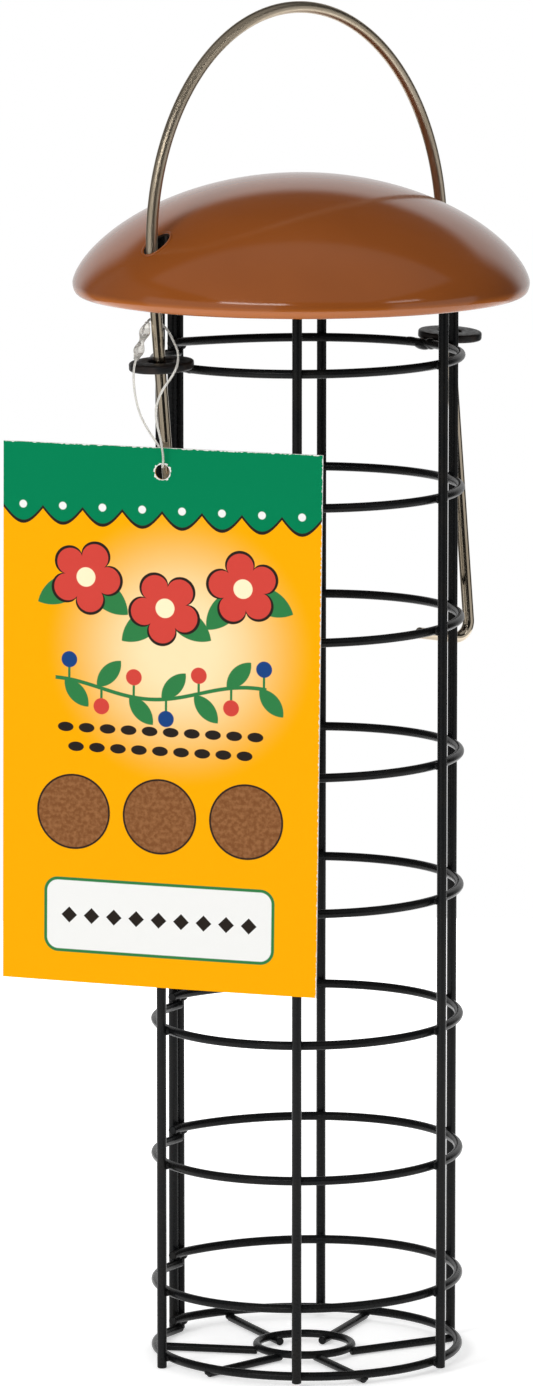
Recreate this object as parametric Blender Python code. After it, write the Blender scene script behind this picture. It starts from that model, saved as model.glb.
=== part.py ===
"""Suet ball feeder: a welded wire cage with a domed lid that slides on a wire bail.

Lengths are in metres and +Z is up. The origin is on the floor, under the lid's centre.
Azimuths run round the cage's axis from the front (-Y) towards the right (+X).
"""

import math

import bmesh
import bpy
from mathutils import Matrix, Vector

MM = 0.001

# Clearance between pieces that touch on the real object
GAP = 0.3 * MM
# Vertices nearer to each other than this are one
WELD = 0.01 * MM
# How far a cutter runs past what it cuts
OVERRUN = 2 * MM

# Cage
HOOP_RADIUS = 39.5 * MM
HOOP_WIRE = 2.3 * MM
HOOP_PITCH = 34.7 * MM
# The distance from each hoop to the next, from the top down; the last is the bottom hoop
HOOP_SPACING_SHARES = (0.984, 0.985, 1.010, 1.007, 0.987, 1.025, 0.966, 0.522)
# How far each hoop slants, in degrees: up to the right and up to the back
HOOP_SLANTS = (
    (0.5, -0.2),
    (0.25, 0.0),
    (0.9, 0.6),
    (0.7, 0.25),
    (0.5, 0.6),
    (0.75, 0.6),
    (0.8, 0.35),
    (1.1, 0.4),
)
HOOP_STEPS = 46
UPRIGHT_WIRE = 2.5 * MM
UPRIGHT_RISE = 33.2 * MM
FOOT_CLEARANCE = 0.1 * MM
UPRIGHT_AZIMUTHS = {
    "upright_front": -3.6,
    "upright_front_right": 55.0,
    "upright_back_right": 116.3,
    "upright_back": 175.0,
    "upright_front_left": -63.0,
}
# These feet end above the floor, flush with the bottom hoop
RAISED_FEET = ("upright_front", "upright_front_right", "upright_back_right", "upright_back")
FOOT_RISE = 1.3 * MM

# Seam, where the rolled mesh laps: two uprights side by side, and next to them each hoop's ends, one
# over the other
SEAM_AZIMUTH = -125.5
LAP_AZIMUTH = -119.3
LAP_LENGTH = 4.2 * MM
LAP_EASE = 7

# Base
SPOKE_WIRE = 2.1 * MM
RING_RADIUS = 12.4 * MM
# Where the centre ring lies from the middle of the bottom hoop
RING_SHIFT = Vector((-0.7, -1.0, -0.5)) * MM
RING_WIRE = 2.1 * MM
RING_STEPS = 28
RING_SIDES = 8
# Each spoke's azimuth at the bottom hoop and, seen from the ring's centre, at its inner end,
# and its inner end's share of the ring's radius
SPOKES_SHARE = (
    ("base_spoke_1", 22, 16, 0.88),
    ("base_spoke_2", 105, 71, 1.04),
    ("base_spoke_3", 157, 149, 0.72),
    ("base_spoke_4", -149, -136, 0.72),
    ("base_spoke_5", -91, -76, 1.02),
    ("base_spoke_6", -40, -31, 0.96),
)

# Ears, the washers on the top hoop that guide the bail
EAR_RADIUS = 8.3 * MM
EAR_THICKNESS = 2.1 * MM
EAR_HOLE_RADIUS = 3.1 * MM
EAR_EDGE = 0.4 * MM
EAR_STEPS = 32
# From the top hoop's centreline out to the ear's inner edge
EAR_OFFSET = 0.95 * MM

# Lid
LID_RADIUS = 58.7 * MM
LID_RISE = 27.7 * MM
LID_BULGE = 1.32
LID_WALL = 0.8 * MM
# How far the turned edge goes down and in, before its flat end
LID_LIP = 2.9 * MM
LID_LIP_INSET = 1.6 * MM
LID_LIP_FLAT = 1.4 * MM
LID_HOLE_RADIUS = 3.5 * MM
LID_STEPS = 48
LID_RINGS = 12
LID_LIP_STEPS = 4
LID_HOLE_SIDES = 20
# How much nearer to the middle the lid's holes are than the bail's legs
LID_HOLE_INSET = 0.7 * MM
# How far the lid has slid off the cage's axis, the way that the bail leans
LID_SLIP = 2.2 * MM

# Bail
BAIL_WIRE = 3.0 * MM
BAIL_AZIMUTH = 130.5
BAIL_LEAN = 5.3
# How much nearer to the middle the legs are than the ears' centres, and how far the bail has slid
BAIL_INSET = 0.05 * MM
BAIL_SLIP = 0.4 * MM
# From the middle of the ears to the crown, and from the arch's foot to the crown, along the legs
BAIL_RISE = 88.0 * MM
BAIL_ARCH_RISE = 59.4 * MM
BAIL_CROWN_STEPS = 30
# From the third hoop down to the lowest point of the hooks, along the legs
HOOK_DROP = 14.6 * MM
HOOK_BEND = 4.0 * MM
HOOK_REACH = 17.6 * MM
HOOK_RISE = 16.0
HOOK_STEPS = 7
# Which hoop the hooks catch, counted from 0 at the top
HOOKED_HOOP_INDEX = 2

# Hang tag
TAG_WIDTH = 84.0 * MM
TAG_HEIGHT = 139.7 * MM
TAG_THICKNESS = 0.5 * MM
TAG_HOLE_RADIUS = 1.95 * MM
# How far below the hole's top the loop passes through it
TAG_HOLE_SLACK = 0.5 * MM
TAG_HOLE_INSET = 6.2 * MM
# How far the lower left corner curls back
TAG_CURL = 3.0 * MM
TAG_ROLL = 0.7
TAG_COLUMNS = 8
TAG_ROWS = 12
TAG_HOLE_SIDES = 20

# Tag loop: a nylon filament from the top of its lock behind the bail's left leg,
# down in front of the ear, through the tag's hole and up again to the foot of the lock
LOOP_DIAMETER = 0.8 * MM
LOOP_ROUTE = [
    Vector(place) * MM
    for place in (
        (-38.9, -30.7, 274.6),
        (-38.5, -29.1, 275.3),
        (-37.3, -28.2, 275.1),
        (-35.4, -28.0, 274.0),
        (-33.6, -29.8, 272.3),
        (-32.3, -33.2, 270.2),
        (-31.2, -37.1, 268.2),
        (-31.2, -40.2, 265.3),
        (-32.5, -41.0, 262.4),
        (-35.0, -40.1, 258.6),
        (-36.6, -38.6, 254.2),
        (-36.5, -37.4, 250.0),
        (-35.5, -36.5, 245.4),
        (-35.0, -36.0, 241.8),
        (-34.9, -35.7, 239.9),
        (-35.0, -34.9, 238.6),
        (-35.1, -33.8, 238.1),
        (-35.1, -32.6, 238.7),
        (-35.2, -31.8, 240.2),
        (-35.7, -31.5, 242.2),
        (-36.7, -31.6, 244.2),
        (-38.6, -32.5, 247.2),
        (-40.7, -34.5, 251.6),
        (-41.9, -36.5, 256.6),
        (-42.3, -37.8, 260.8),
        (-42.2, -38.3, 264.2),
        (-41.7, -37.4, 266.2),
    )
]
# Which of the route's places the loop swings about, and which the tag hangs on, counted from 0
LOOP_SWING_INDEX = 2
LOOP_BEARING_INDEX = 16
LOOP_POINT_SPACING = 2.0 * MM

# Lock that joins the loop's ends
LOCK_BEAD = 3.2 * MM
LOCK_NECK = 1.5 * MM
LOCK_RINGS = 12
LOCK_STEPS = 14

# Finishes: colour, metallic, roughness
BLACK_COAT = ("black_powder_coat", (0.018, 0.018, 0.02), 0.0, 0.38)
COPPER_ENAMEL = ("copper_enamel", (0.34, 0.12, 0.04), 0.55, 0.22)
NICKEL_WIRE = ("antique_nickel", (0.42, 0.37, 0.30), 1.0, 0.32)
CLEAR_NYLON = ("clear_nylon", (0.86, 0.86, 0.83), 0.0, 0.25)
PRINTED_CARD = ("printed_card", (0.95, 0.50, 0.06), 0.0, 0.45)

up = Vector((0, 0, 1))
ear_circle = HOOP_RADIUS + EAR_OFFSET + EAR_RADIUS
bail_half_width = ear_circle - BAIL_INSET
upright_circle = HOOP_RADIUS + HOOP_WIRE / 2 + GAP + UPRIGHT_WIRE / 2
lap_drop = HOOP_WIRE + GAP

# Heights of the hoops' centrelines, from the top hoop down to the bottom hoop
bottom_hoop_height = FOOT_CLEARANCE + HOOP_WIRE / 2 + lap_drop / 2
hoop_heights = [
    bottom_hoop_height + HOOP_PITCH * sum(HOOP_SPACING_SHARES[i:])
    for i in range(len(HOOP_SPACING_SHARES) + 1)
]
top_hoop_height = hoop_heights[0]
base_wire_height = FOOT_CLEARANCE + SPOKE_WIRE / 2
upright_top = top_hoop_height + UPRIGHT_RISE


def lid_shell(radius, rise, share):
    """The dome's height over its widest plane, at a share of the radius of one of its two faces."""
    return rise * (1 - share**2) ** (LID_BULGE / 2)


# The lid rests on the upright that its slip leaves furthest from its centre
upright_edge_share = (upright_circle + UPRIGHT_WIRE / 2 + LID_SLIP) / (LID_RADIUS - LID_WALL)
lid_height = upright_top + GAP - lid_shell(LID_RADIUS - LID_WALL, LID_RISE - LID_WALL, upright_edge_share)
ear_underside_rise = math.sqrt((HOOP_WIRE / 2 + GAP) ** 2 - EAR_OFFSET**2)
bail_pivot_height = top_hoop_height + ear_underside_rise + EAR_THICKNESS / 2


def outward(azimuth):
    """The level unit vector from the cage's axis at an azimuth in degrees."""
    angle = math.radians(azimuth)
    return Vector((math.sin(angle), -math.cos(angle), 0))


cage_axis = LID_SLIP * outward(BAIL_AZIMUTH)


def finish(spec):
    """The material of a finish, made the first time that it is asked for."""
    name, colour, metallic, roughness = spec
    material = bpy.data.materials.get(name)
    if material is None:
        material = bpy.data.materials.new(name)
        material.use_nodes = True
        shader = material.node_tree.nodes["Principled BSDF"]
        shader.inputs["Base Color"].default_value = (*colour, 1)
        shader.inputs["Metallic"].default_value = metallic
        shader.inputs["Roughness"].default_value = roughness
    return material


def add(name, data, spec, place=(0, 0, 0)):
    """An object of a mesh or curve, in one finish, at a place."""
    piece = bpy.data.objects.new(name, data)
    if not data.materials:
        data.materials.append(finish(spec))
    piece.location = place
    bpy.context.scene.collection.objects.link(piece)
    return piece


def wire_curve(name, points, diameter, bevel_resolution=2):
    """A round wire along points, with flat cut ends."""
    curve = bpy.data.curves.new(name, "CURVE")
    curve.dimensions = "3D"
    curve.bevel_depth = diameter / 2
    curve.bevel_resolution = bevel_resolution
    curve.use_fill_caps = True
    spline = curve.splines.new("POLY")
    spline.points.add(len(points) - 1)
    for spline_point, place in zip(spline.points, points):
        spline_point.co = (*place, 1)
    return curve


def wire_mesh(name, points, diameter):
    """The same wire as a mesh, which a Boolean can cut or cut with."""
    guide = bpy.data.objects.new(name, wire_curve(name, points, diameter))
    mesh = bpy.data.meshes.new_from_object(guide)
    bpy.data.objects.remove(guide)
    smooth(mesh)
    return mesh


def smooth(mesh):
    """Round faces shaded smooth, with the sharp edges kept."""
    mesh.shade_smooth()
    mesh.set_sharp_from_angle(angle=math.radians(40))


def turned_mesh(name, profile, steps):
    """A profile of (radius, height) pairs turned about +Z; one that isn't closed has both ends on the axis."""
    shape = bmesh.new()
    points = [shape.verts.new((radius, 0, height)) for radius, height in profile]
    edges = [shape.edges.new(pair) for pair in zip(points, points[1:])]
    if profile[0][0] > 0:
        edges.append(shape.edges.new((points[-1], points[0])))
    bmesh.ops.spin(
        shape,
        geom=points + edges,
        cent=(0, 0, 0),
        axis=up,
        angle=math.tau,
        steps=steps,
        use_merge=True,
        use_duplicate=False,
    )
    bmesh.ops.remove_doubles(shape, verts=shape.verts, dist=WELD)
    bmesh.ops.recalc_face_normals(shape, faces=shape.faces)
    mesh = bpy.data.meshes.new(name)
    shape.to_mesh(mesh)
    shape.free()
    smooth(mesh)
    return mesh


def cutter(name, data, place=(0, 0, 0)):
    """An object that only cuts others."""
    tool = bpy.data.objects.new(name, data)
    tool.location = place
    tool.hide_render = True
    tool.display_type = "WIRE"
    bpy.context.scene.collection.objects.link(tool)
    return tool


def rod_cutter(name, radius, length, sides, place, tilt=(0, 0, 0)):
    """A round cutter, upright unless it is tilted, with its middle at a place."""
    shape = bmesh.new()
    bmesh.ops.create_cone(
        shape, cap_ends=True, segments=sides, radius1=radius, radius2=radius, depth=length
    )
    mesh = bpy.data.meshes.new(name)
    shape.to_mesh(mesh)
    shape.free()
    tool = cutter(name, mesh, place)
    tool.rotation_euler = tilt
    return tool


def cut(piece, tool):
    """Takes the tool's shape out of a piece."""
    modifier = piece.modifiers.new(tool.name, "BOOLEAN")
    modifier.operation = "DIFFERENCE"
    modifier.object = tool


def hoop_points():
    """A hoop's centreline: level for most of the turn, down at its first end and up at its last."""
    half_lap = LAP_LENGTH / 2 / HOOP_RADIUS
    start, sweep = math.radians(LAP_AZIMUTH) - half_lap, math.tau + 2 * half_lap
    points = []
    for step in range(HOOP_STEPS + 1):
        turn = step / HOOP_STEPS
        away = max(-1, min(1, (2 * turn - 1) / (1 - 4 * half_lap / sweep)))
        rise = math.copysign(abs(away) ** LAP_EASE, away) * lap_drop / 2
        points.append(HOOP_RADIUS * outward(math.degrees(start + sweep * turn)) + rise * up)
    return points


def make_hoops():
    """Eight hoops and the bottom hoop, each one wire whose ends lap at the seam."""
    curve = wire_curve("hoop", hoop_points(), HOOP_WIRE)
    for number, (height, slant) in enumerate(zip(hoop_heights, HOOP_SLANTS), 1):
        hoop = add(f"hoop_{number}", curve, BLACK_COAT, cage_axis + height * up)
        hoop.rotation_euler = (math.radians(slant[1]), -math.radians(slant[0]), 0)
    add("bottom_hoop", curve, BLACK_COAT, cage_axis + bottom_hoop_height * up)


def make_uprights():
    """Seven straight uprights outside the hoops, two of them side by side at the seam."""
    curve = wire_curve("upright", [0 * up, upright_top * up], UPRIGHT_WIRE, 3)
    raised_curve = wire_curve("raised_upright", [FOOT_RISE * up, upright_top * up], UPRIGHT_WIRE, 3)
    half_pair = math.degrees((UPRIGHT_WIRE + GAP) / 2 / upright_circle)
    places = dict(UPRIGHT_AZIMUTHS)
    places["upright_seam_inner"] = SEAM_AZIMUTH - half_pair
    places["upright_seam_outer"] = SEAM_AZIMUTH + half_pair
    for name, azimuth in places.items():
        wire = raised_curve if name in RAISED_FEET else curve
        add(name, wire, BLACK_COAT, cage_axis + upright_circle * outward(azimuth))


def make_base():
    """A centre ring on six spokes, which run out under the bottom hoop."""
    hoop_place = cage_axis + bottom_hoop_height * up
    ring_place = hoop_place + RING_SHIFT
    circle = [
        (
            RING_RADIUS + RING_WIRE / 2 * math.cos(math.tau * side / RING_SIDES),
            RING_WIRE / 2 * math.sin(math.tau * side / RING_SIDES),
        )
        for side in range(RING_SIDES)
    ]
    add("base_center_ring", turned_mesh("ring", circle, RING_STEPS), BLACK_COAT, ring_place)

    grown = RING_WIRE / 2 + GAP
    socket = [
        (
            RING_RADIUS + grown * math.cos(math.tau * side / RING_SIDES),
            grown * math.sin(math.tau * side / RING_SIDES),
        )
        for side in range(RING_SIDES)
    ]
    ring_tool = cutter("ring_seat", turned_mesh("ring_seat", socket, RING_STEPS), ring_place)
    hoop_tool = cutter("hoop_seat", wire_mesh("hoop_seat", hoop_points(), HOOP_WIRE + 2 * GAP), hoop_place)
    for name, outer_azimuth, inner_azimuth, share in SPOKES_SHARE:
        outer = HOOP_RADIUS * outward(outer_azimuth)
        inner = share * RING_RADIUS * outward(inner_azimuth) + Vector((RING_SHIFT.x, RING_SHIFT.y, 0))
        mesh = wire_mesh(name, [inner, outer], SPOKE_WIRE)
        spoke = add(name, mesh, BLACK_COAT, cage_axis + base_wire_height * up)
        cut(spoke, ring_tool)
        cut(spoke, hoop_tool)


def ear_seat(azimuth):
    """The middle of an ear's underside, level on the slanted top hoop."""
    to_right, to_back = (math.tan(math.radians(slant)) for slant in HOOP_SLANTS[0])
    bearing = HOOP_RADIUS * outward(azimuth)
    height = top_hoop_height + to_right * bearing.x + to_back * bearing.y + ear_underside_rise
    return cage_axis + ear_circle * outward(azimuth) + height * up


def make_ears():
    """Two washers that lie on the top hoop, one for each leg of the bail."""
    profile = [
        (EAR_HOLE_RADIUS, EAR_EDGE),
        (EAR_HOLE_RADIUS, EAR_THICKNESS - EAR_EDGE),
        (EAR_HOLE_RADIUS + EAR_EDGE, EAR_THICKNESS),
        (EAR_RADIUS - EAR_EDGE, EAR_THICKNESS),
        (EAR_RADIUS, EAR_THICKNESS - EAR_EDGE),
        (EAR_RADIUS, EAR_EDGE),
        (EAR_RADIUS - EAR_EDGE, 0),
        (EAR_HOLE_RADIUS + EAR_EDGE, 0),
    ]
    mesh = turned_mesh("ear", profile, EAR_STEPS)
    for name, azimuth in (("ear_right", BAIL_AZIMUTH), ("ear_left", BAIL_AZIMUTH - 180)):
        add(name, mesh, BLACK_COAT, ear_seat(azimuth))


def dome_points(radius, rise):
    """One face of the dome, from its top down to its widest plane."""
    points = []
    for ring in range(LID_RINGS + 1):
        share = math.sin(math.pi / 2 * ring / LID_RINGS)
        points.append((radius * share, lid_shell(radius, rise, share)))
    return points


def lip_points(thinner):
    """One face of the lip's bend, from the widest plane down and in."""
    middle, inward, drop = LID_RADIUS - LID_LIP_INSET, LID_LIP_INSET - thinner, LID_LIP - thinner
    return [
        (middle + inward * math.cos(angle), -drop * math.sin(angle))
        for angle in (math.pi / 2 * step / LID_LIP_STEPS for step in range(1, LID_LIP_STEPS + 1))
    ]


def make_lid():
    """The pressed dome with its edge turned under, and a hole for each leg of the bail."""
    edge = LID_RADIUS - LID_LIP_INSET - LID_LIP_FLAT
    outer = dome_points(LID_RADIUS, LID_RISE) + lip_points(0)
    inner = dome_points(LID_RADIUS - LID_WALL, LID_RISE - LID_WALL) + lip_points(LID_WALL)
    profile = outer + [(edge, -LID_LIP), (edge, LID_WALL - LID_LIP)] + inner[::-1]
    lid = add("lid", turned_mesh("lid", profile, LID_STEPS), COPPER_ENAMEL, lid_height * up)
    for side in (BAIL_AZIMUTH, BAIL_AZIMUTH - 180):
        place = (bail_half_width - LID_HOLE_INSET) * outward(side) + (lid_height + LID_RISE / 2) * up
        cut(lid, rod_cutter("lid_hole", LID_HOLE_RADIUS, LID_RISE + OVERRUN, LID_HOLE_SIDES, place))


def hook_points(leg_end):
    """The right hook in the bail's own plane, from the end of its leg to its tip."""
    points = []
    centre = bail_half_width - HOOK_BEND
    sweep = math.pi / 2 + math.radians(HOOK_RISE)
    for step in range(HOOK_STEPS + 1):
        angle = sweep * step / HOOK_STEPS
        points.append((centre + HOOK_BEND * math.cos(angle), leg_end - HOOK_BEND * math.sin(angle)))
    last_across, last_height = points[-1]
    tip = bail_half_width - HOOK_REACH
    points.append((tip, last_height + (last_across - tip) * math.tan(math.radians(HOOK_RISE))))
    return points


def make_bail():
    """A wire bent to an arch and two straight legs, which end in hooks under the third hoop."""
    arch_foot = BAIL_RISE - BAIL_ARCH_RISE
    hook_bottom = hoop_heights[HOOKED_HOOP_INDEX] - HOOK_DROP - bail_pivot_height
    right = hook_points(hook_bottom + HOOK_BEND)[::-1]
    crown = [
        (bail_half_width * math.cos(angle), arch_foot + BAIL_ARCH_RISE * math.sin(angle))
        for angle in (math.pi * step / BAIL_CROWN_STEPS for step in range(BAIL_CROWN_STEPS + 1))
    ]
    left = [(-across, height) for across, height in right[::-1]]
    points = [Vector((across, 0, height)) for across, height in right + crown + left]
    curve = wire_curve("bail_handle", points, BAIL_WIRE, 3)
    place = cage_axis - BAIL_SLIP * outward(BAIL_AZIMUTH) + bail_pivot_height * up
    bail = add("bail_handle", curve, NICKEL_WIRE, place)
    bail.rotation_euler = (0, -math.radians(BAIL_LEAN), math.radians(BAIL_AZIMUTH - 90))


def smooth_route(route, spacing):
    """Points at an even spacing along a smooth curve through the route's points."""
    fine = []
    for i in range(len(route) - 1):
        before, start, end, after = (
            route[max(i - 1, 0)],
            route[i],
            route[i + 1],
            route[min(i + 2, len(route) - 1)],
        )
        leave, arrive = (end - before) / 2, (after - start) / 2
        for t in (step / 12 for step in range(12)):
            fine.append(
                (2 * t**3 - 3 * t**2 + 1) * start
                + (t**3 - 2 * t**2 + t) * leave
                + (3 * t**2 - 2 * t**3) * end
                + (t**3 - t**2) * arrive
            )
    fine.append(route[-1])
    runs = [(b - a).length for a, b in zip(fine, fine[1:])]
    count = round(sum(runs) / spacing)
    points, passed, i = [fine[0]], 0, 0
    for number in range(1, count):
        goal = sum(runs) * number / count
        while passed + runs[i] < goal:
            passed += runs[i]
            i += 1
        points.append(fine[i].lerp(fine[i + 1], (goal - passed) / runs[i]))
    return points + [fine[-1]]


def hang(piece, holder):
    """Parents a piece that is placed in world coordinates."""
    piece.parent = holder
    piece.matrix_parent_inverse = Matrix.Translation(holder.location).inverted()


def make_tag_and_loop():
    """The tag, which hangs on a filament round the bail's left leg, and the lock that joins the filament."""
    swing_axis = bpy.data.objects.new("tag_swing_axis", None)
    swing_axis.location = LOOP_ROUTE[LOOP_SWING_INDEX]
    bpy.context.scene.collection.objects.link(swing_axis)

    points = smooth_route(LOOP_ROUTE, LOOP_POINT_SPACING)
    loop = add("tag_loop", wire_curve("tag_loop", points, LOOP_DIAMETER), CLEAR_NYLON)
    hang(loop, swing_axis)

    foot, head = LOOP_ROUTE[-1], LOOP_ROUTE[0]
    along = (head - foot).normalized()
    length = (head - foot).length - 2 * GAP
    profile = [(0, 0)]
    for ring in range(LOCK_RINGS + 1):
        share = ring / LOCK_RINGS
        swell = (LOCK_BEAD - LOCK_NECK) / 2 * math.sin(math.tau * share) ** 2
        profile.append((LOCK_NECK / 2 + swell, length * share))
    profile.append((0, length))
    lock = add("loop_lock", turned_mesh("loop_lock", profile, LOCK_STEPS), CLEAR_NYLON, foot + GAP * along)
    lock.rotation_euler = up.rotation_difference(along).to_euler()
    hang(lock, swing_axis)

    hole = LOOP_ROUTE[LOOP_BEARING_INDEX] - (TAG_HOLE_RADIUS - LOOP_DIAMETER / 2 - TAG_HOLE_SLACK) * up
    hang(make_tag(hole), swing_axis)


def make_tag(hole):
    """The card, turned about its hole until its back lies against the front upright."""
    to_upright = cage_axis + upright_circle * outward(UPRIGHT_AZIMUTHS["upright_front"]) - hole
    clear = UPRIGHT_WIRE / 2 + GAP + TAG_THICKNESS / 2
    turn = math.atan2(to_upright.y, to_upright.x) - math.asin(clear / to_upright.xy.length)

    shape = bmesh.new()
    bmesh.ops.create_grid(shape, x_segments=TAG_COLUMNS, y_segments=TAG_ROWS, size=0.5)
    for vertex in shape.verts:
        across, along = vertex.co.x, vertex.co.y
        back = TAG_CURL * (0.5 - across) ** 2 * (0.5 - along)
        middle = TAG_HOLE_INSET - TAG_HEIGHT / 2
        vertex.co = (TAG_WIDTH * across, back, TAG_HEIGHT * along + middle)
    bmesh.ops.recalc_face_normals(shape, faces=shape.faces)
    mesh = bpy.data.meshes.new("hang_tag")
    shape.to_mesh(mesh)
    shape.free()
    tag = add("hang_tag", mesh, PRINTED_CARD, hole)
    tag.rotation_euler = (0, math.radians(TAG_ROLL), turn)
    card = tag.modifiers.new("card", "SOLIDIFY")
    card.thickness = TAG_THICKNESS
    card.offset = 0
    length = TAG_THICKNESS + 2 * OVERRUN
    punch = rod_cutter("tag_hole", TAG_HOLE_RADIUS, length, TAG_HOLE_SIDES, hole, (math.pi / 2, 0, turn))
    cut(tag, punch)
    return tag


def main():
    for piece in list(bpy.data.objects):
        bpy.data.objects.remove(piece)
    make_uprights()
    make_hoops()
    make_base()
    make_ears()
    make_lid()
    make_bail()
    make_tag_and_loop()


main()
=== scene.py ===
"""Suet ball feeder: its finishes, its hang tag and its light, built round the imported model.

Lengths are in metres and +Z is up. Azimuths run round the cage's axis from the front (-Y)
towards the right (+X). Each operator makes one piece or one group of like pieces.
"""

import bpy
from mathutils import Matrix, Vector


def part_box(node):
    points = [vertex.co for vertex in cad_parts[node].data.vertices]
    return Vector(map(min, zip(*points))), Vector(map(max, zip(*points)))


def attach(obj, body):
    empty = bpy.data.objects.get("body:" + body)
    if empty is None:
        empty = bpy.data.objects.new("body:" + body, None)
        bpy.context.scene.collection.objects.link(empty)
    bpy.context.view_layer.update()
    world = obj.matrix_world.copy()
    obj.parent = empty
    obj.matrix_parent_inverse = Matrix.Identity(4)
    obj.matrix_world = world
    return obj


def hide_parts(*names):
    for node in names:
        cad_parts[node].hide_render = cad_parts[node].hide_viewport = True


bl_info = {
    "name": "Suet Ball Feeder",
    "version": (1, 0, 0),
    "blender": (4, 5, 0),
    "location": "3D View > Sidebar > Feeder",
    "description": "Dresses a suet ball feeder's packed model and sets it in a white studio",
    "category": "Object",
}

from functools import reduce
from math import atan2, cos, degrees, hypot, pi, radians, sin, tan, tau

import bmesh
import bpy
from bpy.props import FloatProperty, FloatVectorProperty, IntProperty, PointerProperty
from mathutils import Euler, Matrix, Vector

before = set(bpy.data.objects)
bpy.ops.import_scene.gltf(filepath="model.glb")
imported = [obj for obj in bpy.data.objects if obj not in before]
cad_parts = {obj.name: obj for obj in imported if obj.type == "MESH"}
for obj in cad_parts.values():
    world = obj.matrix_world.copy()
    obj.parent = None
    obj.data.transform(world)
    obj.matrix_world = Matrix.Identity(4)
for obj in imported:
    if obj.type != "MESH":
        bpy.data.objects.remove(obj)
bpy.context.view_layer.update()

MM = 0.001
UP = Vector((0, 0, 1))

CAGE, BAIL, LID, LOOP, TAG = "cage", "bail", "lid", "loop", "tag"

# Camera, as fitted to the photograph: its distance in front of the cage's axis, its height over the
# floor, its tilt down and its turn to the left, and its focal length on a 36 mm wide sensor
CAMERA_DISTANCE = 2341.9 * MM
CAMERA_HEIGHT = 553.3 * MM
CAMERA_TILT = 9.19
CAMERA_TURN = 0.258
CAMERA_LENS = 238.2

# Cage
COAT_NAME = "satin_black_coat"
CAGE_SLOT = "black_powder_coat"
HOOPS = [f"hoop_{number}" for number in range(1, 9)] + ["bottom_hoop"]
# How far each hoop slants, in degrees: up to the right and up to the back
HOOP_SLANTS = (
    (0.5, -0.2), (0.25, 0.0), (0.9, 0.6), (0.7, 0.25), (0.5, 0.6), (0.75, 0.6), (0.8, 0.35), (1.1, 0.4),
    (0.0, 0.0),
)
# Where each hoop's ends lap, how far they overlap and stand apart, and how sharply they part
LAP_AZIMUTH = -119.3
LAP_LENGTH = 4.2 * MM
LAP_DROP = 2.6 * MM
LAP_EASE = 7.0
UPRIGHT_PLACES = ("front", "front_right", "back_right", "back", "front_left", "seam_inner", "seam_outer")
UPRIGHTS = [f"upright_{place}" for place in UPRIGHT_PLACES]

# Base: each spoke's azimuth at the bottom hoop and, seen from the ring's centre, at its inner end,
# and its inner end's share of the ring's radius
SPOKES = (
    (22, 16, 0.88), (105, 71, 1.04), (157, 149, 0.72),
    (-149, -136, 0.72), (-91, -76, 1.02), (-40, -31, 0.96),
)

# Welds: how far out of the hoops' centrelines the ones on the uprights lie, and the sizes of these and
# of the spokes' ones along the hoop, across it and upwards
WELD_SEAT = 0.1 * MM
UPRIGHT_WELD = (1, 0.85, 1)
SPOKE_WELD = (1.2, 1.1, 0.7)
# The welds that hold the ears on the top hoop: each one's azimuth, its height over the hoop's wire,
# and its size in weld sizes along the hoop, across it and upwards
EAR_WELDS = (
    (122.5, 0.1 * MM, (1.8, 1.0, 0.9)),
    (126.0, 0.0 * MM, (2.4, 1.2, 1.6)),
    (130.5, -0.3 * MM, (2.6, 1.15, 1.6)),
    (137.0, 0.2 * MM, (2.6, 1.05, 0.95)),
    (-43.0, 0.1 * MM, (2.3, 1.05, 0.95)),
    (-49.5, -0.3 * MM, (2.0, 1.1, 1.0)),
    (-56.0, 0.1 * MM, (2.0, 1.05, 0.95)),
)

# Ears: each one's name, how far its weld has let it sink on the hoop, and the azimuth towards which
# it leans down and how far, in degrees
EAR_HOLE_RADIUS = 3.1 * MM
EAR_SEATS = (("ear_right", 0.65 * MM, 50.0, 3.8), ("ear_left", 0.5 * MM, -49.5, 3.9))

# Bail
BAIL_AZIMUTH = 130.5
BAIL_LEAN = 5.3
BAIL_HALF_WIDTH = 48.7 * MM
BAIL_SLIP = 0.4 * MM
BAIL_RISE = 88.0 * MM
BAIL_ARCH_RISE = 59.4 * MM
BAIL_SIDES = 28
HOOK_DROP = 14.6 * MM
HOOK_BEND = 4.0 * MM
HOOK_REACH = 17.6 * MM
HOOK_RISE = 16.0
# The heights between which the plating turns dull towards the arch, and the roughness that it gains
DULL_PLATING = (280 * MM, 292 * MM, 0.0, 0.26)

# Lid
LID_BULGE = 1.32
LID_LIP = 2.9 * MM
LID_LIP_INSET = 1.6 * MM
LID_LIP_FLAT = 1.4 * MM
LID_HOLE_RADIUS = 3.5 * MM
LID_HOLE_INSET = 0.7 * MM
# How far the rims' beads stand back from the holes' edges, as a share of their radius
LID_RIM_SHIFT = 0.2
# How deep in the sheet the faces of the lid's inside begin, as a share of its thickness; these faces take
# the painted shade
LID_SHADED_INSIDE_SHARE = 0.3
# The heights over the lid's widest plane between which the enamel turns to a brighter colour towards its
# edge: painted light, standing in for the light that the floor throws up onto the turned edge
PAINTED_UNDERLIGHT_HEIGHTS = (0.2 * MM, -1.7 * MM)

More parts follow.
